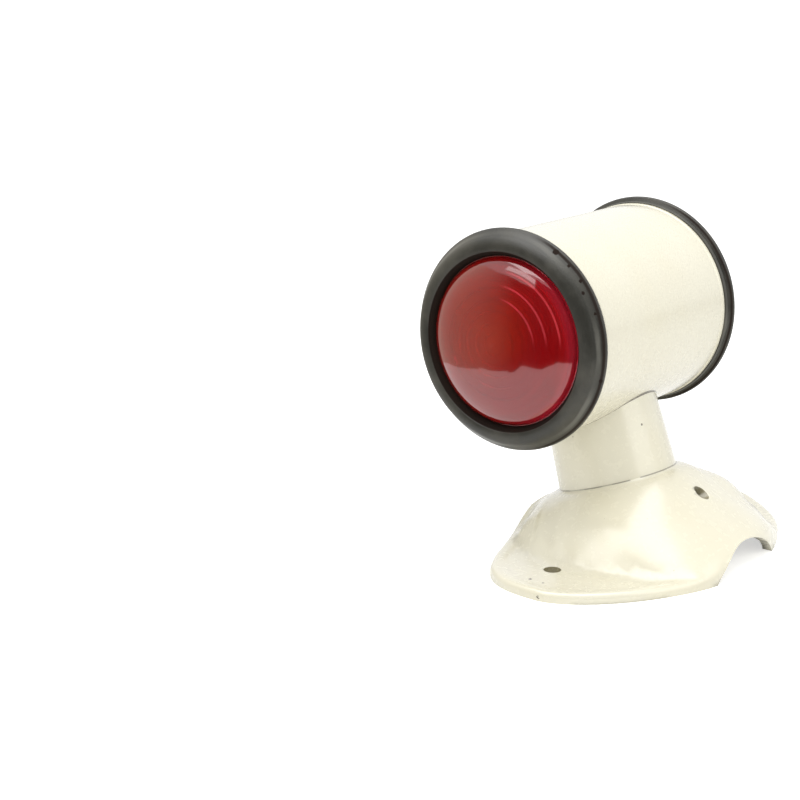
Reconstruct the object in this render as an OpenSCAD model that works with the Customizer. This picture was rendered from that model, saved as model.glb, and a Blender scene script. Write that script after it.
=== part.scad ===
// Double-faced fender light for a tractor: a hollow cast base with end shelves
// for two mounting screws, a leaning neck that swivels on it, and a round
// housing with a domed glass lens and a rubber ring at each end.
// Z is up, the base stands on z = 0, and the housing lies along Y with the red
// lens towards -Y. The origin is midway between the two mounting holes.

/* [Base] */
// Length of the base along the housing, edge to edge
base_length = 210; // [190:1:230]
// Reach of the base from its middle to the high edge
base_high_reach = 64; // [56:0.5:70]
// Reach of the base from its middle to the low edge
base_low_reach = 62; // [54:0.5:66]
// Sideways place of the middle of the base outline
base_middle_x = 7.4; // [2:0.1:10]
// Thickness of the flange under a mounting screw
shelf_height = 4; // [3.5:0.5:6]
// Thickness of the raised rim round the flange
rim_height = 5.2; // [5:0.1:7]
// Wall thickness of the casting
wall = 4; // [3:0.5:5]
// Radius of the arched notch through both long sides
arch_radius = 41.5; // [38:0.5:45]
// Height of the arched notch
arch_height = 15; // [12:0.5:16]

/* [Mounting] */
// Distance between the two mounting holes
mount_spacing = 145; // [135:1:155]
// Diameter of a mounting hole
mount_hole_d = 8.7; // [6.5:0.1:9]
// Sideways place of the neck's axis where it meets the base plane
neck_x = 2; // [-2:0.5:6]
// Lengthways place of the neck's axis where it meets the base plane
neck_y = 2; // [0:0.5:4]

/* [Neck] */
// Lean of the neck towards the low side, in degrees
lean = 17.7; // [12:0.1:20]
// Distance along the neck's axis from the base plane to the seat
seat_rise = 35.8; // [34:0.1:40]
// Radius of the neck where it stands on the seat
neck_radius = 31.6; // [30:0.1:34]
// Taper of the neck, half angle in degrees
neck_taper = 2.6; // [1:0.1:4]
// Distance along the neck's axis from the seat to the housing's axis
head_rise = 85.7; // [82:0.1:96]
// Radius of the spigot that turns in the base
spigot_radius = 14; // [13:0.5:16]
// Radius of the wire passage
wire_bore_radius = 7.5; // [6:0.5:8]

/* [Head] */
// Outer radius of the housing
housing_radius = 53.6; // [52:0.1:56]
// Distance between the two rubber rings, widest place to widest place
ring_spacing = 127.3; // [122:0.1:140]
// Outer radius of a rubber ring
ring_radius = 57; // [56.5:0.5:60]
// Radius of the opening in a rubber ring
ring_opening = 45.7; // [45.5:0.1:48]
// Radius of the lens dome
dome_radius = 43.1; // [41:0.1:44]
// Height of the lens dome
dome_height = 13; // [10:0.5:20]

/* [Bulbs] */
// Diameter of a bulb's bayonet cap
cap_d = 15; // [15:0.1:15.2]
// Diameter of a bulb's glass
bulb_d = 25; // [22:0.5:26]
// How far a bulb is pushed in before it turns
bulb_travel = 2; // [1.5:0.1:2.2]

/* [Hidden] */
$fn = 96;

red_side = 1;
amber_side = -1;
over = 1;

// Clearances between pieces
running_gap = 0.05;
bolt_gap = 0.3;
thread_gap = 0.02;
dog_gap = 0.3;

// Seat of the neck and middle of the housing
seat_x = neck_x - seat_rise * sin(lean);
seat_z = seat_rise * cos(lean);
axis_rise = seat_rise + head_rise;
housing_x = neck_x - axis_rise * sin(lean);
housing_z = axis_rise * cos(lean);
half_length = base_length / 2;

// Base surface
land_width = 5;
land_drop = 0.3;
pad_radius = neck_radius + 0.4;
edge_round = 3;
rim_width = 8;
end_wall_foot = 65;
end_wall_bow = 0.006;
end_wall_slope = 1.6;
wall_blend = 5;
foot_blend = 3;
high_power = 1.63;
low_power = 2.35;
high_bulge = 1.09;
outline_skew = -0.054;
columns = 96;
rows = 15;
inner_columns = 64;
inner_rows = 9;
arch_z = arch_height - arch_radius;

// Set screw, its groove in the spigot and its boss in the base
screw_rise = 20.5;
screw_radius = 3;
screw_mouth_radius = 3.5;
screw_outer_end = 41.5;
dog_length = 3.4;
dog_radius = 2;
groove_depth = 2.5;
groove_width = 5;
spigot_end = 15.5;
boss_radius = 21;
screw_boss_radius = 7;

// Neck
neck_wall = 4;
neck_floor = 5;
screw_offset = 18;
neck_screw_radius = 2.5;
neck_boss_radius = 6;
neck_boss_length = 15;
pad_rise = axis_rise - 45.5;

// Housing ends, measured from the housing's middle outwards
ring_place = ring_spacing / 2;
end_face = ring_place - 0.2;
end_flange = 2.4;
end_opening = 45;
housing_wall = 2.5;
housing_bead = 0.4;
reflector_sheet = 0.7;
lens_flange = 3.2;
lens_flange_radius = 50.3;
lens_glass = 4;
lens_foot = end_face + reflector_sheet;
lens_face = lens_foot + lens_flange;
dome_foot = lens_face + 0.35;
lens_steps = 7;
step_depth = 1.1;

// Bulb bracket
web_place = 8;
web_sheet = 1.6;
web_radius = 43;
foot_sheet = 2;
foot_width = 18;
foot_length = 54;

// Socket and bulb, measured from the housing's middle outwards
socket_floor = web_place + web_sheet;
socket_sheet = 0.7;
socket_length = 22;
socket_inner = cap_d / 2 + 0.15;
socket_outer = socket_inner + socket_sheet;
socket_flange_radius = 13;
rivet_place = 10.8;
rivet_radius = 1.2;
disc_place = socket_floor + 7.8;
disc_thickness = 2.6;
disc_radius = cap_d / 2 - 0.2;
contact_radius = 2.4;
contact_place = disc_place - 0.8;
contact_length = 4;
tip_place = contact_place + contact_length;
tip_length = 1;
cap_place = tip_place + tip_length;
cap_length = 15;
pin_place = cap_place + 6.5;
pin_radius = 1;
pin_reach = socket_outer + 0.4;
slot_width = 2.4;
slot_turn = 24;
bulb_radius = bulb_d / 2;
bulb_middle = cap_place + cap_length + 14;
glass_wall = 0.7;
spring_radius = 4.6;
spring_wire = 0.45;
spring_turns = 5;

// Blends the lower or the higher of two heights into each other
function soft_min(a, b, k) =
    let (h = max(k - abs(a - b), 0) / k)
    min(a, b) - h * h * k / 4;
function soft_max(a, b, k) = -soft_min(-a, -b, k);

// Outline of the base, a rounded oval with a different reach on each side
function side_reach(c) = c > 0 ? base_high_reach * high_bulge : base_low_reach;
function side_power(c) = c > 0 ? high_power : low_power;
function outline_point(a) =
    let (
        c = cos(a),
        s = sin(a),
        p = 2 / side_power(c),
        x = side_reach(c) * sign(c) * pow(abs(c), p),
        y = half_length * sign(s) * pow(abs(s), p),
        trim = soft_max(1, x / base_high_reach, 0.06)
    )
    [base_middle_x + (outline_skew * y + x) / trim, y / trim];

// Distance from a point to the outline, measured along the ray from the middle
function edge_distance(x, y) =
    let (
        dx = x - base_middle_x - outline_skew * y,
        u = abs(dx) / side_reach(dx),
        v = abs(y) / half_length,
        power = side_power(dx),
        oval = pow(pow(u, power) + pow(v, power), 1 / power),
        share = soft_max(oval, dx / base_high_reach, 0.06)
    )
    (1 - share) / max(share, 0.01) * norm([dx, y]);

// Shoulder that falls away on all sides from the tilted seat
function shoulder(x, y) =
    let (
        u = (x - seat_x) / cos(lean),
        d = norm([u, y - neck_y]),
        toward = u / max(d, 0.01),
        land = neck_radius + land_width,
        fall = 0.66 + 0.1 * max(-toward, 0),
        seat_level = seat_z + u * sin(lean) - land_drop / cos(lean),
        cone = seat_z + land * sin(lean) * toward - fall * (d - land)
    )
    soft_min(seat_level, cone, 6);

// Steep walls cut into the shoulder: one at each end, and one each side of
// the arched notches on the high side and on the low side
function end_wall(x, y) =
    shelf_height + end_wall_slope * (end_wall_foot - end_wall_bow * pow(x - 8, 2) - abs(y));
function high_wall(x, y) =
    rim_height + 1.75 * (base_middle_x + base_high_reach - 14 - x) + 0.97 * (56 - abs(y));
function low_wall(x, y) =
    rim_height + 1.86 * (x - base_middle_x + base_low_reach - 6) - 0.41 * (abs(y) - 30);
function tunnel(y) =
    arch_z + sqrt(max(pow(arch_radius + wall, 2) - y * y, 1));

// Flange: a level shelf at each end inside a raised rim
function flange(x, y) =
    let (
        e = edge_distance(x, y),
        inside = min(max((e - rim_width + 1.5) / 1.5, 0), 1),
        at_end = min(max((abs(y) - 48) / 10, 0), 1),
        leg = exp(-pow((abs(y) - 32) / 13, 2))
    )
    rim_height + 2.2 * leg - (rim_height - shelf_height) * inside * at_end;

// Height of the casting's outside over the base plane
function body_height(x, y) =
    let (
        carved = soft_min(shoulder(x, y), end_wall(x, y), wall_blend),
        high = soft_max(high_wall(x, y), tunnel(y), wall_blend),
        low = soft_max(low_wall(x, y), tunnel(y), wall_blend),
        sides = soft_min(soft_min(carved, high, wall_blend), low, wall_blend)
    )
    soft_max(sides, flange(x, y), foot_blend);
function edge_drop(e) = e >= edge_round ? 0
    : edge_round - sqrt(pow(edge_round, 2) - pow(edge_round - e, 2));
function top_height(x, y) = body_height(x, y) - edge_drop(max(edge_distance(x, y), 0));

// Points from the seat's circle out to the base outline
function seat_point(a) =
    [seat_x + neck_radius * cos(a) * cos(lean), neck_y + neck_radius * sin(a)];
function ring_share(j, reach) =
    j <= rows ? j / rows * (1 - edge_round / reach)
    : 1 - edge_round * pow((rows + 4 - j) / 4, 2) / reach;

// Solid between a stack of closed rings, closed at both ends
module ring_solid(rings) {
    n = len(rings[0]);
    m = len(rings);
    sides = [for (j = [0 : m - 2], i = [0 : n - 1], k = [0, 1])
        let (a = j * n + i, b = j * n + (i + 1) % n, c = a + n, d = b + n)
        k == 0 ? [a, b, d] : [a, d, c]];
    top = [for (i = [1 : n - 2]) [0, i + 1, i]];
    bottom = [for (i = [1 : n - 2]) [(m - 1) * n, (m - 1) * n + i, (m - 1) * n + i + 1]];
    polyhedron(points = [for (r = rings, p = r) p], faces = concat(sides, top, bottom));
}

module base_outside() {
    angles = [for (i = [0 : columns - 1]) 360 * i / columns];
    shaped = [for (j = [0 : rows + 4]) [for (a = angles)
        let (
            from = seat_point(a),
            to = outline_point(a),
            reach = norm(to - from),
            p = from + (to - from) * ring_share(j, reach)
        )
        [p[0], p[1], top_height(p[0], p[1])]]];
    foot = [for (a = angles) concat(outline_point(a), 0)];
    ring_solid(concat(shaped, [foot]));
}

// The hollow under the casting follows the outside at the wall's thickness
module base_hollow() {
    angles = [for (i = [0 : inner_columns - 1]) 360 * i / inner_columns];
    grow = 1.05;
    shaped = [for (j = [0 : inner_rows]) [for (a = angles)
        let (
            from = [seat_x, neck_y],
            to = outline_point(a) * 0.93,
            p = from + (to - from) * (0.2 + 0.8 * j / inner_rows),
            q = from + (p - from) * grow,
            under = top_height(q[0], q[1]) - wall
        )
        [p[0], p[1], min(max(under - 1.2, -over / 2), seat_z - 8)]]];
    foot = [for (p = shaped[inner_rows]) [p[0], p[1], -2 * over]];
    ring_solid(concat(shaped, [foot]));
}

// Places children with Z along the neck's axis, from the base plane up
module neck_frame(rise = 0) {
    translate([neck_x, neck_y, 0])
        rotate([0, -lean, 0])
            translate([0, 0, rise])
                children();
}

// Places children with Z pointing out of one end of the housing
module end_frame(side) {
    translate([housing_x, neck_y, housing_z])
        rotate([90 * side, 0, 0])
            children();
}

// Places children along the set screw, with Z away from the neck's axis
module screw_frame() {
    neck_frame(screw_rise)
        rotate([0, 90, 0])
            children();
}

module tunnel_cut() {
    translate([base_middle_x - base_length / 2, 0, arch_z])
        rotate([0, 90, 0])
            cylinder(r = arch_radius, h = base_length);
}

module base_casting() {
    color("#efe9d0")
    difference() {
        union() {
            difference() {
                base_outside();
                base_hollow();
            }
            neck_frame(spigot_end)
                cylinder(r = boss_radius, h = seat_rise - spigot_end - 2);
            neck_frame(seat_rise - 6)
                cylinder(r = pad_radius, h = 6);
            screw_frame()
                translate([0, 0, spigot_radius + 2])
                    cylinder(r = screw_boss_radius, h = 25);
        }
        tunnel_cut();
        neck_frame()
            cylinder(r = spigot_radius + running_gap, h = seat_rise + over);
        screw_frame()
            cylinder(r = screw_radius + thread_gap, h = 60);
        screw_frame()
            translate([0, 0, screw_outer_end])
                cylinder(r = screw_mouth_radius, h = 30);
        for (side = [-1, 1])
            translate([0, side * mount_spacing / 2, -over])
                cylinder(d = mount_hole_d, h = 40);
    }
}

module swivel_set_screw() {
    tip = spigot_radius - groove_depth + dog_gap;
    slot = 1.2;
    color("#8b8a80")
    screw_frame()
    difference() {
        union() {
            translate([0, 0, tip])
                cylinder(r = dog_radius, h = dog_length + 1);
            translate([0, 0, tip + dog_length])
                cylinder(r = screw_radius, h = screw_outer_end - tip - dog_length);
        }
        translate([-screw_radius - over, -slot / 2, screw_outer_end - 1.6])
            cube([2 * screw_radius + 2 * over, slot, 3]);
    }
}

module neck_casting() {
    top = axis_rise - 20;
    top_radius = neck_radius - (top - seat_rise) * tan(neck_taper);
    color("#efe9d0")
    difference() {
        union() {
            difference() {
                neck_frame(seat_rise)
                    cylinder(r1 = neck_radius, r2 = top_radius, h = top - seat_rise);
                neck_frame(seat_rise + neck_floor)
                    cylinder(r1 = neck_radius - neck_wall - 0.2, r2 = top_radius - neck_wall,
                        h = top - seat_rise);
            }
            for (side = [-1, 1])
                neck_frame(axis_rise - housing_radius - neck_boss_length + 5)
                    translate([0, side * screw_offset, 0])
                        cylinder(r = neck_boss_radius, h = neck_boss_length + 10);
            for (side = [-1, 1])
                neck_frame(axis_rise - housing_radius - neck_boss_length + 5)
                    translate([-2, side > 0 ? screw_offset : -screw_offset - 10, 0])
                        cube([4, 10, neck_boss_length]);
            neck_frame(spigot_end)
                cylinder(r = spigot_radius, h = seat_rise - spigot_end + 1);
        }
        end_frame(red_side)
            translate([0, 0, -ring_spacing])
                cylinder(r = housing_radius, h = 2 * ring_spacing);
        neck_frame(screw_rise - groove_width / 2)
            rotate_extrude()
                translate([spigot_radius - groove_depth, 0])
                    square([groove_depth + over, groove_width]);
        neck_frame()
            cylinder(r = wire_bore_radius, h = seat_rise + neck_floor + over);
        for (side = [-1, 1])
            neck_frame(axis_rise - housing_radius - neck_boss_length + 7)
                translate([0, side * screw_offset, 0])
                    cylinder(r = neck_screw_radius + thread_gap, h = 40);
    }
}

module wire_grommet() {
    lip_radius = wire_bore_radius + 3;
    hole = wire_bore_radius - 3;
    color("#2b2b29")
    neck_frame(spigot_end - 1.6)
        rotate_extrude()
            polygon([[hole, 0], [lip_radius - 0.6, 0], [lip_radius, 0.6], [lip_radius, 1.6],
                [wire_bore_radius, 1.6], [wire_bore_radius, 8], [wire_bore_radius - 1, 9],
                [hole, 9]]);
}

module housing_shell() {
    inner = housing_radius - housing_wall;
    bead_end = ring_place - 5;
    color("#efe9d0")
    difference() {
        union() {
            end_frame(red_side)
                rotate_extrude($fn = 144)
                    polygon([[inner, -end_face + end_flange], [inner, end_face - end_flange],
                        [end_opening, end_face - end_flange], [end_opening, end_face],
                        [housing_radius - 1, end_face], [housing_radius, end_face - 1],
                        [housing_radius, bead_end], [housing_radius + housing_bead, bead_end - 0.5],
                        [housing_radius + housing_bead, bead_end - 2], [housing_radius, bead_end - 2.6],
                        [housing_radius, 2.6 - bead_end], [housing_radius + housing_bead, 2 - bead_end],
                        [housing_radius + housing_bead, 0.5 - bead_end], [housing_radius, -bead_end],
                        [housing_radius, 1 - end_face], [housing_radius - 1, -end_face],
                        [end_opening, -end_face], [end_opening, end_flange - end_face]]);
            intersection() {
                end_frame(red_side)
                    translate([0, 0, -ring_place])
                        cylinder(r = housing_radius - 1, h = ring_spacing);
                union() {
                    for (side = [-1, 1])
                        neck_frame(axis_rise - housing_radius)
                            translate([0, side * screw_offset, 0])
                                cylinder(r = neck_boss_radius + 2, h = pad_rise + housing_radius - axis_rise);
                }
            }
        }
        neck_frame(seat_rise + 20)
            cylinder(r = wire_bore_radius + 2, h = head_rise - 40);
        for (side = [-1, 1])
            neck_frame(seat_rise + 20)
                translate([0, side * screw_offset, 0])
                    cylinder(r = neck_screw_radius + bolt_gap, h = head_rise - 40);
    }
}

// Head and shank of a neck screw, held down on the bracket's foot
module neck_screws() {
    head = pad_rise + foot_sheet + 1.2;
    color("#b9b6ab")
    for (side = [-1, 1])
        neck_frame()
            translate([0, side * screw_offset, 0])
                difference() {
                    union() {
                        translate([0, 0, head - 19])
                            cylinder(r = neck_screw_radius, h = 19.5);
                        translate([0, 0, head])
                            rotate_extrude()
                                polygon([[0, 0], [4.6, 0], [4.6, 1.6], [3.6, 3], [0, 3.4]]);
                    }
                    translate([-6, -0.6, head + 2])
                        cube([12, 1.2, 3]);
                }
}

module neck_lock_washers() {
    seat = pad_rise + foot_sheet;
    color("#9c9a90")
    for (side = [-1, 1])
        neck_frame(seat)
            translate([0, side * screw_offset, 0])
                difference() {
                    cylinder(r = 4.4, h = 1.2);
                    translate([0, 0, -over])
                        cylinder(r = neck_screw_radius + 0.1, h = 4);
                    rotate([0, 0, 40])
                        translate([2, -0.4, -over])
                            cube([5, 0.8, 4]);
                }
}

// Two upright webs on one foot, with a socket on the outside of each web
module bulb_bracket() {
    color("#b7b4a6")
    difference() {
        union() {
            neck_frame(pad_rise)
                translate([-foot_width / 2, -foot_length / 2, 0])
                    cube([foot_width, foot_length, foot_sheet]);
            for (side = [red_side, amber_side]) {
                end_frame(side)
                    translate([0, 0, web_place])
                        cylinder(r = web_radius, h = web_sheet);
                neck_frame(pad_rise)
                    translate([-foot_width / 2, -side * (web_place + web_sheet / 2) - web_sheet / 2, 0])
                        cube([foot_width, web_sheet, 12]);
            }
        }
        for (side = [red_side, amber_side]) {
            end_frame(side)
                translate([0, 0, web_place - over])
                    cylinder(r = 3.5, h = web_sheet + 2 * over);
            end_frame(side)
                for (turn = [0, 180])
                    rotate([0, 0, turn])
                        translate([rivet_place, 0, web_place - over])
                            cylinder(r = rivet_radius + thread_gap, h = web_sheet + 2 * over);
            neck_frame(pad_rise - over)
                translate([0, side * screw_offset, 0])
                    cylinder(r = neck_screw_radius + bolt_gap, h = foot_sheet + 2 * over);
        }
        neck_frame(pad_rise - over)
            cylinder(r = 6.5, h = foot_sheet + 2 * over);
    }
}

module socket_rivets() {
    grip = web_sheet + socket_sheet;
    color("#a8a59a")
    for (side = [red_side, amber_side], turn = [0, 180])
        end_frame(side)
            rotate([0, 0, turn])
                translate([rivet_place, 0, web_place])
                    rotate_extrude()
                        polygon([[0, -0.9], [1.4, -0.9], [2.1, 0], [rivet_radius, 0],
                            [rivet_radius, grip], [2.1, grip], [1.4, grip + 0.9], [0, grip + 0.9]]);
}

// Rubber ring that holds the lens and the reflector's rim on the housing's end
module bezel_ring(side) {
    grip = housing_radius + 0.02;
    slope = 35.75;
    nose_round = 1.8;
    face_round = 6;
    nose = [ring_radius - nose_round, ring_place];
    face = [ring_opening + 2.3, ring_place + 2.8];
    color("#2f312f")
    end_frame(side)
        rotate_extrude($fn = 144)
            polygon(concat(
                [[grip, ring_place - 4.65], [grip + 0.7, ring_place - 4.55],
                 [grip + 1.2, ring_place - 3.3], [grip + 1, ring_place - 2.5]],
                [for (k = [0 : 6])
                    let (a = -48 + k / 6 * (slope + 48))
                    nose + nose_round * [cos(a), sin(a)]],
                [for (k = [0 : 9])
                    let (a = slope + k / 9 * (106 - slope))
                    face + face_round * [cos(a), sin(a)]],
                [[ring_opening, face[1] + face_round - 0.8], [ring_opening, lens_face],
                 [lens_flange_radius, lens_face], [lens_flange_radius, end_face],
                 [housing_radius - 1, end_face], [grip, end_face - 1.02]]));
}

// Domed glass, smooth outside, with stepped rings inside and a flat flange
module lens(side, tint) {
    stem = dome_radius - lens_glass;
    inner_height = dome_foot + dome_height - lens_glass;
    function inside(r) = dome_foot + (dome_height - lens_glass) * sqrt(max(1 - pow(r / (stem + 1), 2), 0));
    step = stem / lens_steps;
    color(tint)
    end_frame(side)
        rotate_extrude($fn = 144)
            polygon(concat(
                [[0, inner_height]],
                [for (k = [0 : lens_steps - 1], e = [0, 1])
                    let (r = step * (k + e * 0.98 + 0.01), z = inside(step * (k + 1)))
                    [r, e == 0 ? z + 0.2 : z + 0.2 + step_depth * 0.4]],
                [[stem, lens_foot], [lens_flange_radius - 0.05, lens_foot],
                 [lens_flange_radius - 0.05, lens_face - 0.02], [dome_radius + 2, lens_face - 0.02],
                 [dome_radius + 0.3, lens_face + 0.6]],
                [for (a = [0 : 6 : 84])
                    [dome_radius * cos(a), dome_foot + dome_height * sin(a)]],
                [[0, dome_foot + dome_height]]));
}

// Spun sheet dish, with its rim held between the housing and the lens
module reflector(side) {
    rim = end_opening + 3;
    bowl = 43;
    hole = 15.5;
    deep = 30;
    function dish(r) = deep + (end_face - 2 - deep) * (pow(r, 2) - pow(hole, 2)) / (pow(bowl, 2) - pow(hole, 2));
    color("#d9d9d4")
    end_frame(side)
        rotate_extrude($fn = 144)
            polygon(concat(
                [for (k = [0 : 9]) let (r = hole + (bowl - hole) * k / 9) [r, dish(r)]],
                [[bowl, end_face], [rim, end_face], [rim, lens_foot],
                 [bowl - reflector_sheet, lens_foot]],
                [for (k = [9 : -1 : 0])
                    let (r = hole + (bowl - reflector_sheet - hole) * k / 9) [r, dish(r) + reflector_sheet]]));
}

// Bayonet socket: barrel with a flange and two hooked slots for the cap's pins
module socket(side) {
    slot_floor = pin_place - bulb_travel - slot_width / 2;
    slot_pocket = 0.2;
    color("#c9b36a")
    end_frame(side)
    difference() {
        translate([0, 0, socket_floor])
            difference() {
                union() {
                    cylinder(r = socket_flange_radius, h = socket_sheet);
                    cylinder(r = socket_outer, h = socket_length);
                }
                translate([0, 0, socket_sheet])
                    cylinder(r = socket_inner, h = socket_length);
                translate([0, 0, -over])
                    cylinder(r = 3, h = 4);
                for (turn = [0, 180])
                    rotate([0, 0, turn])
                        translate([rivet_place, 0, -over])
                            cylinder(r = rivet_radius + thread_gap, h = 4);
            }
        for (turn = [90, 270])
            rotate([0, 0, turn]) {
                translate([0, -slot_width / 2, slot_floor - slot_pocket])
                    cube([10, slot_width, bulb_travel + slot_width + slot_pocket]);
                rotate([0, 0, -slot_turn])
                    translate([0, -slot_width / 2, slot_floor - slot_pocket])
                        cube([10, slot_width, 20]);
                rotate([0, 0, -slot_turn])
                    translate([0, 0, slot_floor])
                        rotate_extrude(angle = slot_turn)
                            translate([socket_inner - 1, 0])
                                square([3, slot_width]);
            }
    }
}

// Helical wire spring with flat rings at both ends, swept as one closed tube
module contact_spring(side) {
    low = socket_floor + socket_sheet + spring_wire + 0.1;
    high = disc_place - spring_wire - 0.1;
    steps = 16;
    count = spring_turns * steps;
    sides = 6;
    rings = [for (k = [0 : count])
        let (
            a = 360 * k / steps,
            rise = min(max((k / steps - 0.8) / (spring_turns - 1.6), 0), 1),
            z = low + (high - low) * rise
        )
        [for (i = [0 : sides - 1])
            let (b = 360 * i / sides, r = spring_radius + spring_wire * cos(b))
            [r * cos(a), r * sin(a), z + spring_wire * sin(b)]]];
    color("#b9bcc0")
    end_frame(side)
        ring_solid(rings);
}

module contact_disc(side) {
    color("#7a4b2b")
    end_frame(side)
        translate([0, 0, disc_place])
            difference() {
                cylinder(r = disc_radius, h = disc_thickness);
                translate([0, 0, -over])
                    cylinder(r = contact_radius + 0.01, h = disc_thickness + 2 * over);
            }
}

module contact(side) {
    color("#c8a24a")
    end_frame(side)
        translate([0, 0, contact_place])
            cylinder(r = contact_radius, h = contact_length);
}

module bulb_cap(side) {
    color("#c9a85a")
    end_frame(side) {
        difference() {
            translate([0, 0, cap_place])
                cylinder(d = cap_d, h = cap_length);
            translate([0, 0, cap_place + 2])
                cylinder(d = cap_d - 1, h = cap_length);
        }
        translate([0, 0, tip_place])
            cylinder(r = 2.2, h = tip_length + 0.5);
        for (turn = [90, 270])
            rotate([0, 0, turn])
                translate([cap_d / 2 - 0.6, 0, pin_place])
                    rotate([0, 90, 0])
                        cylinder(r = pin_radius, h = pin_reach - cap_d / 2 + 0.6, $fn = 24);
    }
}

module bulb_glass(side) {
    foot = cap_place + 4;
    throat = cap_d / 2 - 0.55;
    start = asin(throat / bulb_radius);
    middle = bulb_middle;
    color("#e8eef0")
    end_frame(side)
        rotate_extrude()
            polygon(concat(
                [[throat - glass_wall, foot], [throat, foot]],
                [for (k = [0 : 18])
                    let (a = 180 - start - k / 18 * (180 - start))
                    [bulb_radius * sin(a), middle + bulb_radius * cos(a)]],
                [for (k = [18 : -1 : 0])
                    let (a = 180 - start - k / 18 * (180 - start), r = bulb_radius - glass_wall)
                    [r * sin(a) * (k == 18 ? 0 : 1), middle + r * cos(a)]]));
}

// Glass stem with two posts and the coiled wire between them
module filament(side) {
    stem_place = cap_place + 2;
    post_top = bulb_middle + 1;
    spread = 4;
    color("#9aa0a4")
    end_frame(side) {
        translate([0, 0, stem_place])
            cylinder(r1 = 4.5, r2 = 2.6, h = 14);
        for (way = [-1, 1])
            translate([way * 1.6, 0, stem_place + 13]) {
                rotate([0, way * atan((spread - 1.6) / (post_top - stem_place - 13)), 0])
                    cylinder(r = 0.4, h = post_top - stem_place - 12.6, $fn = 16);
            }
        translate([-spread - 0.4, 0, post_top])
            rotate([0, 90, 0])
                cylinder(r = 0.7, h = 2 * spread + 0.8, $fn = 16);
    }
}

base_casting();
swivel_set_screw();
neck_casting();
wire_grommet();
housing_shell();
neck_screws();
neck_lock_washers();
bulb_bracket();
socket_rivets();
lens(red_side, "#8e1119");  // red_lens
bezel_ring(red_side);  // red_bezel_ring
reflector(red_side);  // red_reflector
socket(red_side);  // red_socket
contact_spring(red_side);  // red_contact_spring
contact_disc(red_side);  // red_contact_disc
contact(red_side);  // red_contact
bulb_cap(red_side);  // red_bulb_cap
bulb_glass(red_side);  // red_bulb_glass
filament(red_side);  // red_filament
lens(amber_side, "#c96f12");  // amber_lens
bezel_ring(amber_side);  // amber_bezel_ring
reflector(amber_side);  // amber_reflector
socket(amber_side);  // amber_socket
contact_spring(amber_side);  // amber_contact_spring
contact_disc(amber_side);  // amber_contact_disc
contact(amber_side);  // amber_contact
bulb_cap(amber_side);  // amber_bulb_cap
bulb_glass(amber_side);  // amber_bulb_glass
filament(amber_side);  // amber_filament
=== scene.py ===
import math

import bmesh
import bpy
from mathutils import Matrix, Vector


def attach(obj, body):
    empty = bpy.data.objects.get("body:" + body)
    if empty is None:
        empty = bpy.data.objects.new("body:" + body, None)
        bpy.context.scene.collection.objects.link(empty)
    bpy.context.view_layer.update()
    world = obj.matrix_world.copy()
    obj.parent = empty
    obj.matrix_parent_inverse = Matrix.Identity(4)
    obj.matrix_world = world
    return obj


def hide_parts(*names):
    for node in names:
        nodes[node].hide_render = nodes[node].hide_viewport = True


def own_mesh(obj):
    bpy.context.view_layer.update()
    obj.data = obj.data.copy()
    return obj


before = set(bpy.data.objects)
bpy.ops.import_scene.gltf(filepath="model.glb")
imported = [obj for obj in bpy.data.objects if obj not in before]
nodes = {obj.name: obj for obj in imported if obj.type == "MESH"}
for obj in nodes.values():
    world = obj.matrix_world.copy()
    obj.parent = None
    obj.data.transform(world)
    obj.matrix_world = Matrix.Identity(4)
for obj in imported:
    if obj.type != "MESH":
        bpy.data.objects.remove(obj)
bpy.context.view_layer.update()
print("frame loaded,", len(nodes), "nodes")

# the fender light's own sizes, in metres, as its drawing has them
light = {
    "lean": math.radians(17.7),
    "neckFoot": Vector((0.002, 0.002, 0.0)),  # where the neck's axis meets the base plane
    "seatRise": 0.0358,
    "headRise": 0.0857,
    "housingRadius": 0.0536,
    "screwRise": 0.0205,
    "mountHoles": ((0.0, -0.0725, 0.0), (0.0, 0.0725, 0.0)),
    "mountHoleRadius": 0.00435,
}
neckAxis = Vector((-math.sin(light["lean"]), 0, math.cos(light["lean"])))
housingMiddle = light["neckFoot"] + neckAxis * (light["seatRise"] + light["headRise"])

# small helpers for node materials, which lay the nodes out in rows as they are made
nodeRows = {"length": 8, "start": (-2200, 900), "step": (220, -320)}


# the sockets given here have one value all over the surface
def newMaterial(name, sockets):
    mat = bpy.data.materials.new(name)
    mat.use_nodes = True
    tree = mat.node_tree
    shader = tree.nodes["Principled BSDF"]
    for key, value in sockets.items():
        shader.inputs[key].default_value = value
    return mat, tree, shader


def addNode(tree, kind, **values):
    row, column = divmod(len(tree.nodes), nodeRows["length"])
    node = tree.nodes.new(kind)
    for side, count in enumerate((column, row)):
        node.location[side] = nodeRows["start"][side] + nodeRows["step"][side] * count
    for key, value in values.items():
        if hasattr(node, key):
            setattr(node, key, value)
        else:
            node.inputs[key].default_value = value
    return node


def objectPoint(tree, shift=None, turn=(0, 0, 0)):
    coords = addNode(tree, "ShaderNodeTexCoord")
    if shift is None:
        return coords.outputs["Object"]
    place = addNode(tree, "ShaderNodeMapping", Location=shift, Rotation=turn)
    tree.links.new(coords.outputs["Object"], place.inputs["Vector"])
    return place.outputs["Vector"]


# a number or a colour is written into the socket, and an output is wired to it
def link(tree, value, socket):
    if isinstance(value, (int, float)):
        socket.default_value = value
    elif isinstance(value, tuple):
        socket.default_value = value + (1,)
    else:
        tree.links.new(value, socket)


def maths(tree, kind, first, second=0.0):
    node = addNode(tree, "ShaderNodeMath", operation=kind)
    link(tree, first, node.inputs[0])
    link(tree, second, node.inputs[1])
    return node.outputs[0]


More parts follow.
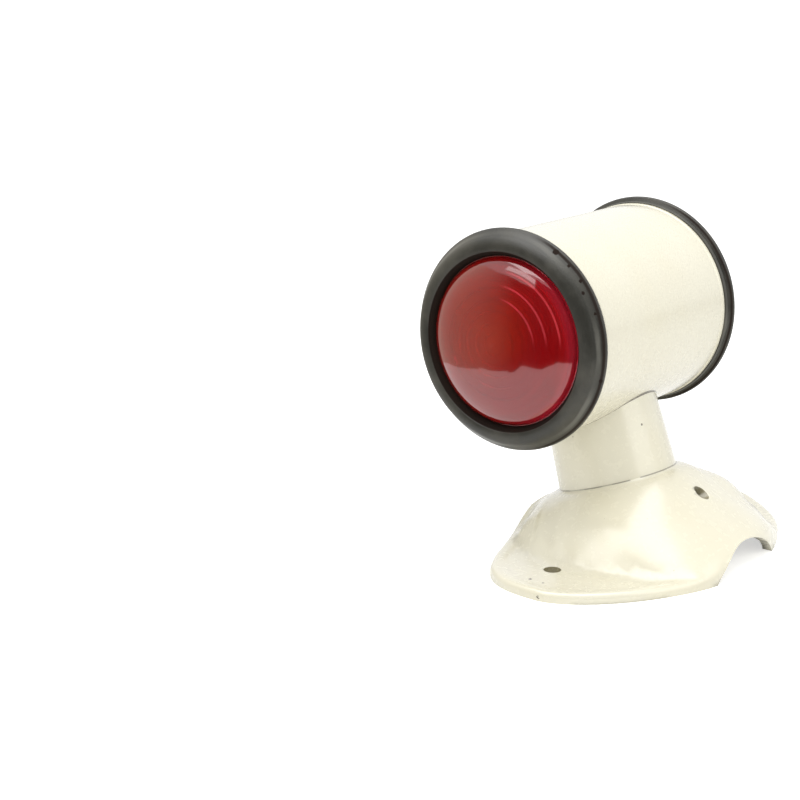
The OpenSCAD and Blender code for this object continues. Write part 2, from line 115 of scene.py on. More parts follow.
def noise(tree, point, scale, detail, rough):
    node = addNode(tree, "ShaderNodeTexNoise", Scale=scale, Detail=detail, Roughness=rough)
    tree.links.new(point, node.inputs["Vector"])
    return node.outputs["Fac"]


def remap(tree, value, low, high, toLow=0.0, toHigh=1.0, smooth=True):
    curve = "SMOOTHSTEP" if smooth else "LINEAR"
    node = addNode(tree, "ShaderNodeMapRange", interpolation_type=curve)
    ends = {"From Min": low, "From Max": high, "To Min": toLow, "To Max": toHigh}
    for key, number in ends.items():
        node.inputs[key].default_value = number
    tree.links.new(value, node.inputs["Value"])
    return node.outputs["Result"]


# the same for a noise, most of which lies between 0.3 and 0.7
def spread(tree, pattern, toLow, toHigh, smooth=True):
    return remap(tree, pattern, 0.3, 0.7, toLow, toHigh, smooth)


def mixColours(tree, share, first, second):
    node = addNode(tree, "ShaderNodeMix", data_type="RGBA")
    link(tree, share, node.inputs[0])
    link(tree, first, node.inputs[6])
    link(tree, second, node.inputs[7])
    return node.outputs[2]


def bump(tree, shader, height, strength, distance):
    node = addNode(tree, "ShaderNodeBump", Strength=strength, Distance=distance)
    tree.links.new(height, node.inputs["Height"])
    tree.links.new(node.outputs["Normal"], shader.inputs["Normal"])


def farFrom(tree, point, place):
    node = addNode(tree, "ShaderNodeVectorMath", operation="DISTANCE")
    tree.links.new(point, node.inputs[0])
    node.inputs[1].default_value = place
    return node.outputs["Value"]


# how far out from an axis of the point's frame, how far along it, and the two other coordinates
def roundAxis(tree, point, axis="Z"):
    parts = addNode(tree, "ShaderNodeSeparateXYZ")
    tree.links.new(point, parts.inputs[0])
    across = [parts.outputs[letter] for letter in "XYZ" if letter != axis]
    squares = [maths(tree, "MULTIPLY", part, part) for part in across]
    out = maths(tree, "SQRT", maths(tree, "ADD", *squares))
    return out, parts.outputs[axis], across


markEdge = {"detail": 3.0, "rough": 0.6, "soft": 0.00015}


# soft-edged marks round the given (place, radius) pairs, with a wobbly outline
def marks(tree, point, places, wobble, wobbleScale=900.0):
    nearest = None
    for place, radius in places:
        gap = maths(tree, "SUBTRACT", farFrom(tree, point, place), radius)
        nearest = gap if nearest is None else maths(tree, "MINIMUM", nearest, gap)
    shake = noise(tree, point, wobbleScale, markEdge["detail"], markEdge["rough"])
    shake = spread(tree, shake, -wobble, wobble, smooth=False)
    edge = maths(tree, "ADD", nearest, shake)
    return remap(tree, edge, markEdge["soft"], -markEdge["soft"])


def inNeckFrame(tree):
    lean, foot = light["lean"], light["neckFoot"]
    shift = (-foot.x * math.cos(lean), -foot.y, foot.x * math.sin(lean))
    return objectPoint(tree, shift, (0, lean, 0))


def inHousingFrame(tree):
    return objectPoint(tree, tuple(-housingMiddle))


# cream gloss paint, brushed on thick, slightly uneven, with dark paint chips and painted shade in
# its seams
paint = {
    "light": (0.80, 0.765, 0.615),
    "deep": (0.785, 0.742, 0.575),
    "speck": (0.26, 0.21, 0.12),
    "holeTint": (0.27, 0.24, 0.14),
    # one dark tint for real paint chips and for painted shade in the seams and gaps
    "chipAndShadeTint": (0.10, 0.082, 0.052),
    "clouds": (20.0, 2.0, 0.5),  # scale, detail and roughness of a noise
    "cloudSpan": (0.35, 0.7),
    "specks": (620.0, 1.0, 0.4),
    "speckSpan": (0.8, 0.82),
    "speckAreas": (30.0, 2.0, 0.5),
    "areaSpan": (0.5, 0.66),
    "grain": (260.0, 3.0, 0.55),
    "roughness": (0.25, 0.28),
    "waves": (45.0, 1.0, 0.5),
    "peel": (330.0, 0.0, 0.5),
    "peelShare": 0.01,
    "bump": (0.02, 0.001),  # strength and depth
    "sockets": {"Coat Weight": 1.0, "Coat Roughness": 0.2},
}


def creamPaint(name, chipsAndShade, holes=None):
    mat, tree, shader = newMaterial(name, paint["sockets"])
    point = objectPoint(tree)
    clouds = remap(tree, noise(tree, point, *paint["clouds"]), *paint["cloudSpan"])
    colour = mixColours(tree, clouds, paint["light"], paint["deep"])
    specks = remap(tree, noise(tree, point, *paint["specks"]), *paint["speckSpan"])
    areas = remap(tree, noise(tree, point, *paint["speckAreas"]), *paint["areaSpan"])
    colour = mixColours(tree, maths(tree, "MULTIPLY", specks, areas), colour, paint["speck"])
    if holes:
        colour = mixColours(tree, holes(tree), colour, paint["holeTint"])
    # painted shade in the seams and gaps, and real paint chips, in the one dark tint
    colour = mixColours(tree, chipsAndShade(tree), colour, paint["chipAndShadeTint"])
    tree.links.new(colour, shader.inputs["Base Color"])
    rough = spread(tree, noise(tree, point, *paint["grain"]), *paint["roughness"])
    tree.links.new(rough, shader.inputs["Roughness"])
    waves = noise(tree, point, *paint["waves"])
    peel = maths(tree, "MULTIPLY", noise(tree, point, *paint["peel"]), paint["peelShare"])
    bump(tree, shader, maths(tree, "ADD", waves, peel), *paint["bump"])
    return mat


# painted shade: a dark line in the seam under the neck, broken off at one place
seam = {
    "base": (-0.0003, 0.0001),  # from the seat's height, on each of the two castings
    "neck": (-0.0002, 0.0002),
    "edge": 0.00012,
    "reach": (0.0336, 0.0332),
    "breaks": (90.0, 3.0, 0.6),
    "breakSpan": (0.36, 0.5),
    "breakShare": (0.55, 1.0),
    "lineBreak": (0.014, -0.0183, 0.0418),
    "lineBreakSpan": (0.0022, 0.0034),
    "share": 0.6,
}


def seamShadeLine(tree, casting):
    low, high = (light["seatRise"] + shift for shift in seam[casting])
    point = inNeckFrame(tree)
    out, along, _ = roundAxis(tree, point)
    inside = remap(tree, out, *seam["reach"])
    above = remap(tree, along, low - seam["edge"], low)
    below = remap(tree, along, high + seam["edge"], high)
    breaks = noise(tree, point, *seam["breaks"])
    broken = remap(tree, breaks, *seam["breakSpan"], *seam["breakShare"])
    band = maths(tree, "MULTIPLY", above, below)
    line = maths(tree, "MULTIPLY", band, maths(tree, "MULTIPLY", inside, broken))
    kept = remap(tree, farFrom(tree, objectPoint(tree), seam["lineBreak"]), *seam["lineBreakSpan"])
    return maths(tree, "MULTIPLY", maths(tree, "MULTIPLY", line, kept), seam["share"])


baseMarks = {
    "chips": (((-0.0012, -0.0906, 0.004), 0.0009),
              ((0.0071, -0.0913, 0.004), 0.0007),
              ((0.0131, -0.1046, 0.002), 0.0008)),
    "wobble": 0.0005,
    "mountEdge": (0.00035, 0.00005),  # from the mounting hole's radius
    "screwEdge": (0.0039, 0.0036),
}


def baseChipsAndShade(tree):
    # painted shade in the seam under the neck, with real paint chips
    line = seamShadeLine(tree, "base")
    chips = marks(tree, objectPoint(tree), baseMarks["chips"], baseMarks["wobble"])
    return maths(tree, "MAXIMUM", line, chips)


# the walls of the two mounting holes and of the set screw's hole
def baseHoles(tree):
    parts = addNode(tree, "ShaderNodeSeparateXYZ")
    tree.links.new(objectPoint(tree), parts.inputs[0])
    flat = addNode(tree, "ShaderNodeCombineXYZ")
    for letter in "XY":
        tree.links.new(parts.outputs[letter], flat.inputs[letter])
    first, second = (farFrom(tree, flat.outputs[0], place) for place in light["mountHoles"])
    edge = (light["mountHoleRadius"] + more for more in baseMarks["mountEdge"])
    mount = remap(tree, maths(tree, "MINIMUM", first, second), *edge)
    lift = addNode(tree, "ShaderNodeVectorMath", operation="SUBTRACT")
    tree.links.new(inNeckFrame(tree), lift.inputs[0])
    lift.inputs[1].default_value = (0, 0, light["screwRise"])
    out, _, _ = roundAxis(tree, lift.outputs["Vector"], "X")
    return maths(tree, "MAXIMUM", mount, remap(tree, out, *baseMarks["screwEdge"]))


neckMarks = {
    "chips": (((0.0107, -0.0077, 0.0675), 0.0006),),
    "wobble": 0.0003,
    "gapSpan": (0.036, 0.046),
    "gapWidth": (0.00006, 0.0011),
    "gapShadeShare": 0.85,
}


def neckChipsAndShade(tree):
    # painted shade in the seam and in the gap under the housing, with a real paint chip
    line = seamShadeLine(tree, "neck")
    chips = marks(tree, objectPoint(tree), neckMarks["chips"], neckMarks["wobble"])
    out, _, across = roundAxis(tree, inHousingFrame(tree), "Y")
    # the saddle stands off the housing on its high side, so its edge is open there, and painted
    # shade darkens that gap
    width = remap(tree, across[0], *neckMarks["gapSpan"], *neckMarks["gapWidth"])
    rise = maths(tree, "SUBTRACT", out, light["housingRadius"])
    gap = maths(tree, "MULTIPLY", maths(tree, "LESS_THAN", rise, width), neckMarks["gapShadeShare"])
    return maths(tree, "MAXIMUM", maths(tree, "MAXIMUM", line, chips), gap)


# painted shade: a dark line where the neck's saddle touches the housing, stronger on one side and
# only on the underside
saddleShade = {
    "saddleRadius": 0.0296,
    "lineSpan": (0.0007, 0.0003),
    "sideSpan": (0.012, 0.027),
    "sideShare": (0.12, 0.8),
    "underSpan": (0.095, 0.085),
}


def housingSaddleShade(tree):
    out, along, across = roundAxis(tree, inNeckFrame(tree))
    away = maths(tree, "ABSOLUTE", maths(tree, "SUBTRACT", out, saddleShade["saddleRadius"]))
    line = remap(tree, away, *saddleShade["lineSpan"])
    side = remap(tree, across[0], *saddleShade["sideSpan"], *saddleShade["sideShare"])
    under = remap(tree, along, *saddleShade["underSpan"])
    return maths(tree, "MULTIPLY", maths(tree, "MULTIPLY", line, side), under)


basePaint = creamPaint("basePaint", baseChipsAndShade, baseHoles)
neckPaint = creamPaint("neckPaint", neckChipsAndShade)
housingPaint = creamPaint("housingPaint", housingSaddleShade)
print("paint ready")

# rubber of the two rings: dull grey-green, with a painted highlight along its crest and painted
# shade inside
rubber = {
    "dark": (0.030, 0.029, 0.023),
    "pale": (0.068, 0.064, 0.050),
    # the colour of the painted highlight along the crest
    "crestHighlight": (0.17, 0.165, 0.14),
    # painted shade for the inside of the opening and for the crease, also the colour of the nicks
    "recessShade": (0.018, 0.011, 0.008),
    "bloom": (38.0, 4.0, 0.6),
    "bloomSpan": (0.35, 0.75),
    "crestRadius": 0.0542,
    "crestSpan": (0.0011, 0.0003),
    "streakNoise": (17.0, 2.0, 0.5),
    "streakSpan": (0.4, 0.62),
    "streakShare": (0.12, 0.75),
    "swaying": (26.0, 2.0, 0.5),
    "sway": 0.0007,
    "grooveRadius": 0.0561,
    "grooveSpan": (0.0008, 0.0002),
    "grooveSway": 0.4,
    "highSide": (0.005, 0.03),
    "grooveShadeShare": (0.0, 0.85),
    "recessEdge": (0.0463, 0.0458),
    "nicks": (((-0.0073, -0.0641, 0.1641), 0.0017), ((0.0007, -0.0645, 0.1582), 0.0008),
              ((0.0076, -0.0642, 0.1516), 0.0010), ((0.0100, -0.0659, 0.1462), 0.0009),
              ((0.0163, -0.0646, 0.1365), 0.0007), ((0.0199, -0.0633, 0.1033), 0.0011)),
    "nickWobble": 0.0004,
    "roughness": (0.32, 0.52),
    "dullRoughness": 0.85,
    "shine": (0.5, 0.15),  # of the plain rubber, and where it's dull
    "grain": (900.0, 2.0, 0.5),
    "dents": (120.0, 3.0, 0.6),
    "dentShare": 1.5,
    "bump": (0.2, 0.0003),
}


def ringRubber(name, nicks=()):
    mat, tree, shader = newMaterial(name, {})
    point = objectPoint(tree)
    bloom = noise(tree, point, *rubber["bloom"])
    share = remap(tree, bloom, *rubber["bloomSpan"])
    colour = mixColours(tree, share, rubber["dark"], rubber["pale"])
    out, _, across = roundAxis(tree, inHousingFrame(tree), "Y")
    # painted highlight: a pale band along the crest, swaying and broken up by noise
    swaying = noise(tree, point, *rubber["swaying"])
    sway = spread(tree, swaying, -rubber["sway"], rubber["sway"], smooth=False)
    fromCrest = maths(tree, "SUBTRACT", maths(tree, "ADD", out, sway), rubber["crestRadius"])
    crestHighlight = remap(tree, maths(tree, "ABSOLUTE", fromCrest), *rubber["crestSpan"])
    streakNoise = noise(tree, point, *rubber["streakNoise"])
    streak = remap(tree, streakNoise, *rubber["streakSpan"], *rubber["streakShare"])
    colour = mixColours(tree, maths(tree, "MULTIPLY", crestHighlight, streak), colour, rubber["crestHighlight"])
    # painted shade: a dark line for a crease cut by the housing's edge, open on the high side
    lessSway = maths(tree, "MULTIPLY", sway, rubber["grooveSway"])
    fromGroove = maths(tree, "SUBTRACT", maths(tree, "ADD", out, lessSway), rubber["grooveRadius"])
    crease = remap(tree, maths(tree, "ABSOLUTE", fromGroove), *rubber["grooveSpan"])
    high = remap(tree, across[0], *rubber["highSide"], *rubber["grooveShadeShare"])
    grooveShade = maths(tree, "MULTIPLY", crease, high)
    colour = mixColours(tree, grooveShade, colour, rubber["recessShade"])
    # painted shade: the inner wall of the opening darkened almost to black
    recessShade = remap(tree, out, *rubber["recessEdge"])
    colour = mixColours(tree, recessShade, colour, rubber["recessShade"])
    dull = maths(tree, "MAXIMUM", recessShade, grooveShade)
    # the nicks, real cuts in the rubber, take the same dark colour
    if nicks:
        cuts = marks(tree, point, nicks, rubber["nickWobble"])
        colour = mixColours(tree, cuts, colour, rubber["recessShade"])
        dull = maths(tree, "MAXIMUM", dull, cuts)
    tree.links.new(colour, shader.inputs["Base Color"])
    rough = spread(tree, bloom, *rubber["roughness"])
    dullRough = maths(tree, "MULTIPLY", dull, rubber["dullRoughness"])
    tree.links.new(maths(tree, "MAXIMUM", rough, dullRough), shader.inputs["Roughness"])
    shine = remap(tree, dull, 0.0, 1.0, *rubber["shine"])
    tree.links.new(shine, shader.inputs["Specular IOR Level"])
    grain = noise(tree, point, *rubber["grain"])
    dents = noise(tree, point, *rubber["dents"])
    height = maths(tree, "ADD", grain, maths(tree, "MULTIPLY", dents, rubber["dentShare"]))
    bump(tree, shader, height, *rubber["bump"])
    return mat


redRingRubber = ringRubber("redRingRubber", rubber["nicks"])
amberRingRubber = ringRubber("amberRingRubber")
grommetRubber = ringRubber("grommetRubber")
print("rubber ready")

# pressed glass of the lenses
lensGlass = {
    # glow is a painted glow, steps the colour of painted highlights, and rim painted light on one
    # side
    "red": {"tint": (0.46, 0.005, 0.008), "glow": (0.57, 0.040, 0.010),
            "steps": (1.0, 0.075, 0.10), "rim": (0.85, 0.03, 0.06)},
    "amber": {"tint": (0.80, 0.24, 0.010), "glow": (0.88, 0.34, 0.03),
              "steps": (1.0, 0.50, 0.12), "rim": (0.92, 0.34, 0.02)},
    "glowPlace": (-0.047, -0.078, 0.124),
    "glowSpan": (0.04, 0.008),
    "clouds": (34.0, 2.0, 0.5),
    "cloudShare": (0.6, 1.0),
    "chips": (((-0.0592, -0.0759, 0.1052), 0.0012), ((-0.0580, -0.0762, 0.1035), 0.0009)),
    "chipTint": (0.75, 0.02, 0.02),
    "chipWobble": (0.0004, 700.0),
    "stepEdges": (0.0240, 0.0304, 0.0370),
    "stepLine": (0.0006, 0.0003),
    "quarter": ((0.0, 0.012), (0.001, 0.012)),
    "rimSpan": (0.0375, 0.0425),
    "rimSide": (0.0, 0.03),
    "haze": (60.0, 2.0, 0.5),
    "roughness": (0.11, 0.14),
    "waves": (30.0, 1.0, 0.5),
    "bump": (0.008, 0.001),
    "sockets": {"Transmission Weight": 0.64, "IOR": 1.5,
                "Coat Weight": 1.0, "Coat IOR": 1.6, "Coat Roughness": 0.03},
}


def colouredGlass(name, tint, glow, steps, rim, chips=()):
    mat, tree, shader = newMaterial(name, lensGlass["sockets"])
    point = objectPoint(tree)
    # painted glow: the colour turns lighter towards one side of the dome, standing in for light
    # from the reflector
    near = remap(tree, farFrom(tree, point, lensGlass["glowPlace"]), *lensGlass["glowSpan"])
    clouds = spread(tree, noise(tree, point, *lensGlass["clouds"]), *lensGlass["cloudShare"])
    colour = mixColours(tree, maths(tree, "MULTIPLY", near, clouds), tint, glow)
    if chips:
        chipped = marks(tree, point, chips, *lensGlass["chipWobble"])
        colour = mixColours(tree, chipped, colour, lensGlass["chipTint"])
    # painted highlights: bright arcs along the pressed steps, over one quarter of the dome
    out, _, across = roundAxis(tree, inHousingFrame(tree), "Y")
    nearest = None
    for radius in lensGlass["stepEdges"]:
        gap = maths(tree, "ABSOLUTE", maths(tree, "SUBTRACT", out, radius))
        nearest = gap if nearest is None else maths(tree, "MINIMUM", nearest, gap)
    line = remap(tree, nearest, *lensGlass["stepLine"])
    sides = [remap(tree, part, *span) for part, span in zip(across, lensGlass["quarter"])]
    quarter = maths(tree, "MULTIPLY", *sides)
    colour = mixColours(tree, maths(tree, "MULTIPLY", line, quarter), colour, steps)
    # painted light: a brighter red along the dome's outer rim, on one side only
    outer = remap(tree, out, *lensGlass["rimSpan"])
    edge = maths(tree, "MULTIPLY", outer, remap(tree, across[0], *lensGlass["rimSide"]))
    colour = mixColours(tree, edge, colour, rim)
    tree.links.new(colour, shader.inputs["Base Color"])
    rough = spread(tree, noise(tree, point, *lensGlass["haze"]), *lensGlass["roughness"])
    tree.links.new(rough, shader.inputs["Roughness"])
    bump(tree, shader, noise(tree, point, *lensGlass["waves"]), *lensGlass["bump"])
    return mat


redGlass = colouredGlass("redGlass", **lensGlass["red"], chips=lensGlass["chips"])
amberGlass = colouredGlass("amberGlass", **lensGlass["amber"])
print("glass ready")

# metals and the small inside parts
metals = {
    "zincSteel": {"tint": (0.52, 0.52, 0.48), "roughness": 0.38},
    "wornSteel": {"tint": (0.22, 0.20, 0.16), "roughness": 0.5},
    "brightAluminium": {"tint": (0.86, 0.86, 0.85), "roughness": 0.16},
    "brassSheet": {"tint": (0.66, 0.46, 0.18), "roughness": 0.3},
    "springSteel": {"tint": (0.45, 0.46, 0.48), "roughness": 0.3},
    "filamentMetal": {"tint": (0.3, 0.3, 0.31), "roughness": 0.45},
}
metalSurface = {
    "spots": (90.0, 4.0, 0.6),
    "spotSpan": (0.4, 0.75),
    "spotDarkness": 0.72,
    "roughnessSpread": (-0.06, 0.1),
    "grain": (700.0, 2.0, 0.5),
    "bump": (0.08, 0.0002),
    "sockets": {"Metallic": 1.0},
}


def metal(name, tint, roughness):
    mat, tree, shader = newMaterial(name, metalSurface["sockets"])
    point = objectPoint(tree)
    spots = noise(tree, point, *metalSurface["spots"])
    darker = tuple(part * metalSurface["spotDarkness"] for part in tint)
    share = remap(tree, spots, *metalSurface["spotSpan"])
    tree.links.new(mixColours(tree, share, tint, darker), shader.inputs["Base Color"])
    ends = (roughness + more for more in metalSurface["roughnessSpread"])
    tree.links.new(spread(tree, spots, *ends), shader.inputs["Roughness"])
    grain = noise(tree, point, *metalSurface["grain"])
    bump(tree, shader, grain, *metalSurface["bump"])
    return mat


metalMaterials = {name: metal(name, **choice) for name, choice in metals.items()}

laminate = {
    "dark": (0.12, 0.055, 0.025),
    "light": (0.2, 0.1, 0.05),
    "layers": (400.0, 2.0, 0.5),
    "layerSpan": (0.35, 0.65),
    "sockets": {"Roughness": 0.6},
}


def brownLaminate(name):
    mat, tree, shader = newMaterial(name, laminate["sockets"])
    layers = noise(tree, objectPoint(tree), *laminate["layers"])
    share = remap(tree, layers, *laminate["layerSpan"])
    colour = mixColours(tree, share, laminate["dark"], laminate["light"])
    tree.links.new(colour, shader.inputs["Base Color"])
    return mat


bulbGlass = {
    "haze": (80.0, 2.0, 0.5),
    "roughness": (0.01, 0.04),
    "sockets": {"Base Color": (0.95, 0.97, 0.97, 1), "Transmission Weight": 1.0, "IOR": 1.45},
}


def clearGlass(name):
    mat, tree, shader = newMaterial(name, bulbGlass["sockets"])
    haze = noise(tree, objectPoint(tree), *bulbGlass["haze"])
    tree.links.new(spread(tree, haze, *bulbGlass["roughness"]), shader.inputs["Roughness"])
    return mat


finishes = {
    "base_casting": basePaint,
    "neck_casting": neckPaint,
    "housing_shell": housingPaint,
    "swivel_set_screw": metalMaterials["wornSteel"],
    "wire_grommet": grommetRubber,
    "neck_screws": metalMaterials["zincSteel"],
    "neck_lock_washers": metalMaterials["zincSteel"],
    "bulb_bracket": metalMaterials["zincSteel"],
    "socket_rivets": metalMaterials["zincSteel"],
}
endFinishes = {
    "reflector": metalMaterials["brightAluminium"],
    "socket": metalMaterials["brassSheet"],
    "contact_spring": metalMaterials["springSteel"],
    "contact_disc": brownLaminate("brownLaminate"),
    "contact": metalMaterials["brassSheet"],
    "bulb_cap": metalMaterials["brassSheet"],
    "bulb_glass": clearGlass("clearGlass"),
    "filament": metalMaterials["filamentMetal"],
}
for end, glass, ring in (("red", redGlass, redRingRubber), ("amber", amberGlass, amberRingRubber)):
    finishes[end + "_lens"] = glass
    finishes[end + "_bezel_ring"] = ring
    for part, mat in endFinishes.items():
        finishes[end + "_" + part] = mat
for name, mat in finishes.items():
    node = nodes[name]
    node.data.materials.clear()
    node.data.materials.append(mat)
print("finishes given to", len(finishes), "nodes")

# pieces that are made here: merged copies of some nodes, and the lips of the rings
mergeGap = 2e-6


def mergedCopy(node):
    bm = bmesh.new()
    bm.from_mesh(nodes[node].data)
    bmesh.ops.remove_doubles(bm, verts=bm.verts, dist=mergeGap)
    return bm


# extrude and spin leave the order of what they make open, so it's set by place
def sortByPlace(bm):
    for items, place in ((bm.verts, lambda vert: vert.co[:]),
                         (bm.faces, lambda face: face.calc_center_median()[:])):
        order = {item: count for count, item in enumerate(sorted(items, key=place))}
        items.sort(key=order.get)


# an object at the origin, shaded smooth up to an angle in degrees
def newPiece(name, bm, mat, sharp=None):
    mesh = bpy.data.meshes.new(name)
    bm.to_mesh(mesh)
    bm.free()
    if sharp is not None:
        mesh.shade_smooth()
        mesh.set_sharp_from_angle(angle=math.radians(sharp))
    mesh.materials.append(mat)
    piece = bpy.data.objects.new(name, mesh)
    bpy.context.scene.collection.objects.link(piece)
    return piece


# the casting and the lenses, with their facets smoothed
smoothed = {
    "baseSkin": {"node": "base_casting", "body": "base", "slot": "cream_paint",
                 "mat": basePaint, "sharp": 34, "passes": (3, 16), "pulls": True},
    "redDome": {"node": "red_lens", "body": "head", "slot": "red_glass",
                "mat": redGlass, "sharp": 30},
    "amberDome": {"node": "amber_lens", "body": "head", "slot": "amber_glass",
                  "mat": amberGlass, "sharp": 30},
}
castingShape = {
    "foot": 0.006,  # the rim below this height keeps its edges
    "crease": 0.42,
    "shoulder": (-0.045, 0.02, 0.013),  # lowest x, highest y, lowest z
    "factor": 0.5,
    # where the photo's casting is fuller or slimmer than the solid: middle, reach, shift
    "pulls": (
        ((-0.044, -0.056, 0.004), 0.045, (0.0036, 0, 0)),
        ((0.033, 0.043, 0.026), 0.022, (0.0013, 0.0016, 0.0030)),
        ((0.050, 0.066, 0.004), 0.035, (0.0018, 0.0010, 0)),
        ((-0.016, -0.097, 0.002), 0.026, (-0.0010, -0.0008, 0)),
    ),
}


def isSoft(vert):
    return vert.co.z > castingShape["foot"] and all(
        edge.is_manifold and edge.calc_face_angle() < castingShape["crease"]
        for edge in vert.link_edges)


def onShoulder(vert):
    lowX, highY, lowZ = castingShape["shoulder"]
    return vert.co.z > lowZ and vert.co.y < highY and vert.co.x > lowX


def softenCreases(bm, passes):
    soft = [vert for vert in bm.verts if isSoft(vert)]
    shoulder = [vert for vert in soft if onShoulder(vert)]
    for verts, times in zip((soft, shoulder), passes):
        for _ in range(times):
            bmesh.ops.smooth_vert(bm, verts=verts, factor=castingShape["factor"],
                                  use_axis_x=False, use_axis_y=False, use_axis_z=True)


def pullOut(bm):
    for middle, reach, shift in castingShape["pulls"]:
        for vert in bm.verts:
            share = (vert.co - Vector(middle)).length / reach
            if share < 1:
                vert.co += Vector(shift) * (1 - share * share) ** 2


def smoothedCopy(name, node, body, slot, mat, sharp, passes=(), pulls=False):
    bm = mergedCopy(node)
    softenCreases(bm, passes)
    if pulls:
        pullOut(bm)
    skin = newPiece(name, bm, mat, sharp)
    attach(skin, body)
    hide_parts(node)
    print(name, "smoothed,", len(skin.data.polygons), "faces")


for name, choice in smoothed.items():
    smoothedCopy(name, **choice)

# the contact springs, as merged copies of their nodes
springs = {
    "redCoil": {"node": "red_contact_spring", "joint": "red_contact_push", "inner": 1},
    "amberCoil": {"node": "amber_contact_spring", "joint": "amber_contact_push", "inner": 0},
}
coilSharp = 40


def pushedSpring(name, node, joint, inner):
    coil = newPiece(name, mergedCopy(node), finishes[node], coilSharp)
    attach(coil, "head")
    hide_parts(node)
    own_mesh(coil)


for name, choice in springs.items():
    pushedSpring(name, **choice)
print("springs made")

# the sloping inner lip of each rubber ring, which reaches in over the lens flange
lip = {
    "section": ((0.04568, 0.06736), (0.04568, 0.0714), (0.0450, 0.0707),  # out and along
                (0.04346, 0.0682), (0.04346, 0.068), (0.0451, 0.06738)),
    "steps": 144,
    "sharp": 40,
    "ends": {"redLip": (-1, redRingRubber), "amberLip": (1, amberRingRubber)},
}


def ringLip(name, side, mat):
    bm = bmesh.new()
    corners = [bm.verts.new((out, side * along, 0)) for out, along in lip["section"]]
    edges = [bm.edges.new(pair) for pair in zip(corners, corners[1:] + corners[:1])]
    bmesh.ops.spin(bm, geom=corners + edges, cent=(0, 0, 0), axis=(0, 1, 0),
                   angle=math.tau, steps=lip["steps"], use_merge=True)
    bmesh.ops.recalc_face_normals(bm, faces=bm.faces)
    bmesh.ops.translate(bm, verts=bm.verts, vec=housingMiddle)
    sortByPlace(bm)
    piece = newPiece(name, bm, mat, lip["sharp"])
    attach(piece, "head")


for name, (side, mat) in lip["ends"].items():
    ringLip(name, side, mat)
print("ring lips made")

# the pale floor, which also lights up for the camera, glass and, a little, gloss
floorLook = {
    "size": 30,
    "lift": 0.55,
    "glossShare": 0.2,
    "sockets": {"Base Color": (0.82, 0.82, 0.81, 1), "Roughness": 0.9,
                "Emission Color": (1, 1, 1, 1)},
}


# what the camera sees, also through glass, and what gloss reflects
def seenDirectly(tree):
    paths = addNode(tree, "ShaderNodeLightPath")
    rays = (paths.outputs["Is Camera Ray"], paths.outputs["Is Transmission Ray"])
    return maths(tree, "MAXIMUM", *rays), paths.outputs["Is Glossy Ray"]


def paleFloor():
    bm = bmesh.new()
    bmesh.ops.create_grid(bm, x_segments=1, y_segments=1, size=floorLook["size"])
    mat, tree, shader = newMaterial("floorWhite", floorLook["sockets"])
    seen, glossy = seenDirectly(tree)
    glossy = maths(tree, "MULTIPLY", glossy, floorLook["glossShare"])
    glow = maths(tree, "MULTIPLY", maths(tree, "MAXIMUM", seen, glossy), floorLook["lift"])
    tree.links.new(glow, shader.inputs["Emission Strength"])
    floor = newPiece("paleFloor", bm, mat)


paleFloor()

# a dark folding screen in front of the red lens, which shows only in reflections; its cloth glows
# pale towards its left end
screen = {
    "folds": (  # x, y and how tall
        (-0.33, 0.10, 0.32), (-0.30, -0.12, 0.32), (-0.27, -0.17, 0.32), (-0.215, -0.262, 0.30),
        (-0.125, -0.305, 0.29), (-0.118, -0.36, 0.31), (-0.03, -0.335, 0.30), (0.0, -0.355, 0.55),
        (0.09, -0.38, 0.6), (0.2, -0.28, 0.6), (0.28, -0.1, 0.5)),
    "foot": 0.0005,
    "fadeSpan": (-0.31, -0.12),
    "fadeTints": (1.25, 0.05),  # at the left and at the right
    "liftSpan": (0.1, 0.3),
    "liftShare": (0.55, 0.85),
    "duskSpan": (-0.12, 0.0),
    "duskShare": (1.0, 0.2),
    "sockets": {"Base Color": (0, 0, 0, 1), "Specular IOR Level": 0.0,
                "Emission Color": (1, 0.95, 0.82, 1)},
    "hiddenFrom": ("camera", "diffuse", "transmission", "shadow", "volume_scatter"),
}


def screenCloth(name):
    mat, tree, shader = newMaterial(name, screen["sockets"])
    parts = addNode(tree, "ShaderNodeSeparateXYZ")
    tree.links.new(objectPoint(tree), parts.inputs[0])
    across, up = parts.outputs["X"], parts.outputs["Z"]
    # painted light: the cloth glows, brightest at its left end and higher up, and dimmer towards
    # the right
    fade = remap(tree, across, *screen["fadeSpan"], *screen["fadeTints"], smooth=False)
    lift = remap(tree, up, *screen["liftSpan"], *screen["liftShare"])
    dusk = remap(tree, across, *screen["duskSpan"], *screen["duskShare"])
    glow = maths(tree, "MULTIPLY", maths(tree, "MULTIPLY", fade, lift), dusk)
    tree.links.new(glow, shader.inputs["Emission Strength"])
    return mat


def darkScreen():
    bm = bmesh.new()
    feet = [bm.verts.new((x, y, screen["foot"])) for x, y, tall in screen["folds"]]
    edges = [bm.edges.new(pair) for pair in zip(feet, feet[1:])]
    made = bmesh.ops.extrude_edge_only(bm, edges=edges)
    tops = [item for item in made["geom"] if isinstance(item, bmesh.types.BMVert)]
    # each top goes up by the height of the foot that it stands on
    tops.sort(key=lambda top: min(range(len(feet)), key=lambda i: (feet[i].co - top.co).length))
    for top, (x, y, tall) in zip(tops, screen["folds"]):
        bmesh.ops.translate(bm, verts=[top], vec=(0, 0, tall))
    sortByPlace(bm)
    card = newPiece("darkScreen", bm, screenCloth("screenCloth"))
    for ray in screen["hiddenFrom"]:
        setattr(card, "visible_" + ray, False)


darkScreen()

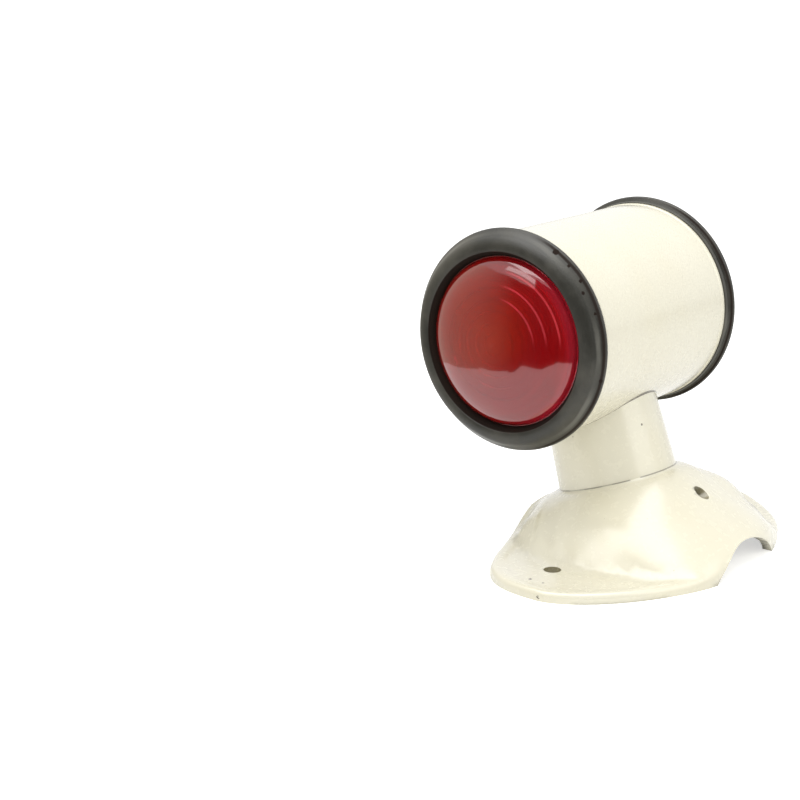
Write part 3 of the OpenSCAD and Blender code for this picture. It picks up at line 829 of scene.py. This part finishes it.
# lamps, world and camera
lamps = {
    "window": {"place": (-0.315, -0.86, 1.03), "sizes": (0.67, 0.26), "power": 1.1,
               "aim": (-0.03, -0.07, 0.116)},
    "top": {"place": (-0.15, -0.1, 1.5), "sizes": (1.3, 1.3), "power": 14.0,
            "aim": (0, 0, 0.08)},
    "fill": {"place": (1.1, -0.1, 0.9), "sizes": (1.6, 1.2), "power": 5.4,
             "aim": (0, 0, 0.08)},
    "front": {"place": (0.35, -1.3, 0.35), "sizes": (1.2, 0.8), "power": 3.0,
              "aim": (0, 0, 0.04), "shine": False},
}
worldStrength = 0.6
view = {
    "place": (0.5063, -0.8426, 0.335),
    "forward": (-0.5965, 0.7609, -0.2554),
    "lens": 86.94,
    "sensor": 36.0,
    "clipStart": 0.05,
}


def areaLamp(name, place, sizes, power, aim, shine=True):
    data = bpy.data.lights.new(name, "AREA")
    data.shape = "RECTANGLE"
    data.size, data.size_y = sizes
    data.energy = power
    lamp = bpy.data.objects.new(name, data)
    lamp.location = place
    lamp.visible_glossy = shine
    lamp.rotation_euler = (Vector(aim) - Vector(place)).to_track_quat("-Z", "Y").to_euler()
    bpy.context.scene.collection.objects.link(lamp)


# plain white for the camera, glass and gloss, and dimmer as a light
def whiteWorld():
    world = bpy.data.worlds.new("studioWhite")
    world.use_nodes = True
    bpy.context.scene.world = world
    tree = world.node_tree
    background = tree.nodes["Background"]
    background.inputs["Color"].default_value = (1, 1, 1, 1)
    seen = maths(tree, "MAXIMUM", *seenDirectly(tree))
    strength = remap(tree, seen, 0.0, 1.0, worldStrength, 1.0, smooth=False)
    tree.links.new(strength, background.inputs["Strength"])


def photoCamera():
    data = bpy.data.cameras.new("photoCamera")
    data.lens = view["lens"]
    data.sensor_width = view["sensor"]
    data.clip_start = view["clipStart"]
    camera = bpy.data.objects.new("photoCamera", data)
    camera.location = view["place"]
    camera.rotation_euler = Vector(view["forward"]).to_track_quat("-Z", "Y").to_euler()
    bpy.context.scene.collection.objects.link(camera)
    return camera


for name, choice in lamps.items():
    areaLamp(name, **choice)
whiteWorld()
bpy.context.scene.camera = photoCamera()
bpy.context.scene.view_settings.view_transform = "Standard"
print("studio ready")
